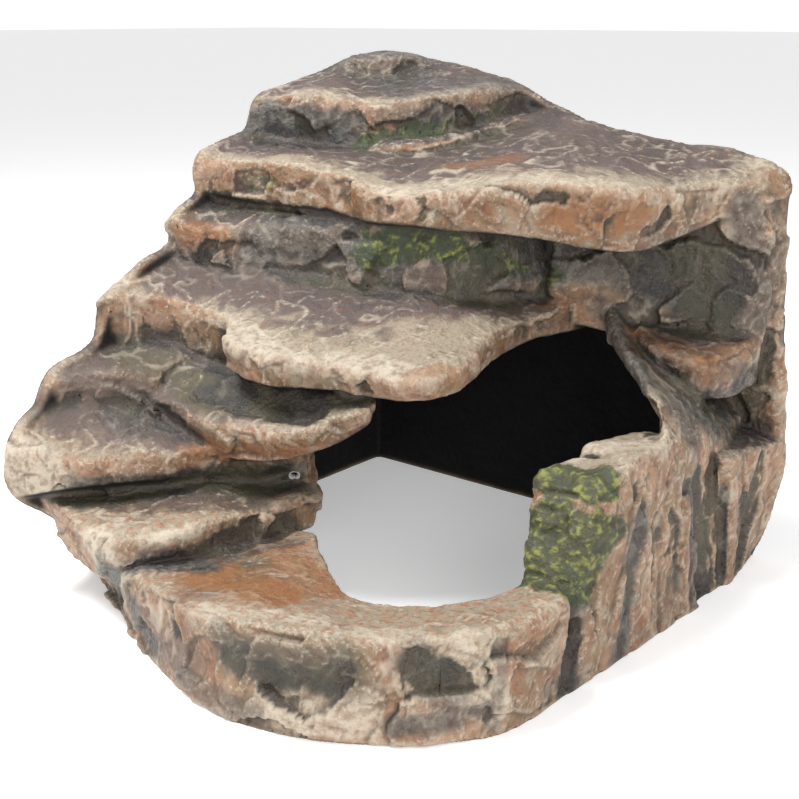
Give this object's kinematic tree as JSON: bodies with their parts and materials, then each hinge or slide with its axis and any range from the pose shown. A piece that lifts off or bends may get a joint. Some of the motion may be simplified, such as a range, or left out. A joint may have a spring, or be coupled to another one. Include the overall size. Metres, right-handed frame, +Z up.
{
  "type": "corner cave ornament",
  "caption": "Free-standing corner rock ornament of cast resin: stepped ledges over an open-bottomed cave, with two flat rear walls at a right angle.",
  "frame": {"origin": "middle of the footprint's bounding box, on the ground", "axes": "+Z up; the rear left wall faces -X and the rear right wall faces +Y, so the cave opens towards +X and -Y"},
  "size_m": [0.264, 0.281, 0.2441],
  "materials": {
    "tan_rock": "hand-painted cast resin, tan to peach with cream dry-brushed ridges, satin clear coat",
    "mauve_rock": "hand-painted cast resin, purple-brown tops fading to cream edges, satin clear coat",
    "slate_rock": "hand-painted cast resin, charcoal and grey-green in the recesses, semi-gloss clear coat",
    "ochre_rock": "hand-painted cast resin, orange-ochre with dark edges, satin clear coat",
    "moss_rock": "hand-painted cast resin, yellow-green moss over tan rock, satin clear coat",
    "raw_resin": "dark brown-grey cast resin, unpainted, matt"
  },
  "bodies": {
    "root": {"sill_left": "tan_rock", "sill_front": "tan_rock", "sill_corner": "tan_rock", "lower_ledge": "tan_rock", "big_ledge": "tan_rock", "basin_ledge": "tan_rock", "upper_slab": "tan_rock", "column_shoulder": "tan_rock", "column_middle": "tan_rock", "column_rear": "tan_rock", "left_step": "mauve_rock", "platform": "mauve_rock", "upper_step": "mauve_rock", "summit_knob": "mauve_rock", "riser": "slate_rock", "cap_slab": "slate_rock", "niche_lining": "slate_rock", "niche_rock": "slate_rock", "column_front": "slate_rock", "column_recessed": "slate_rock", "niche_ledge": "ochre_rock", "mossy_block": "moss_rock", "rear_left_wall": "raw_resin", "rear_right_wall": "raw_resin"}
  },
  "joints": []
}
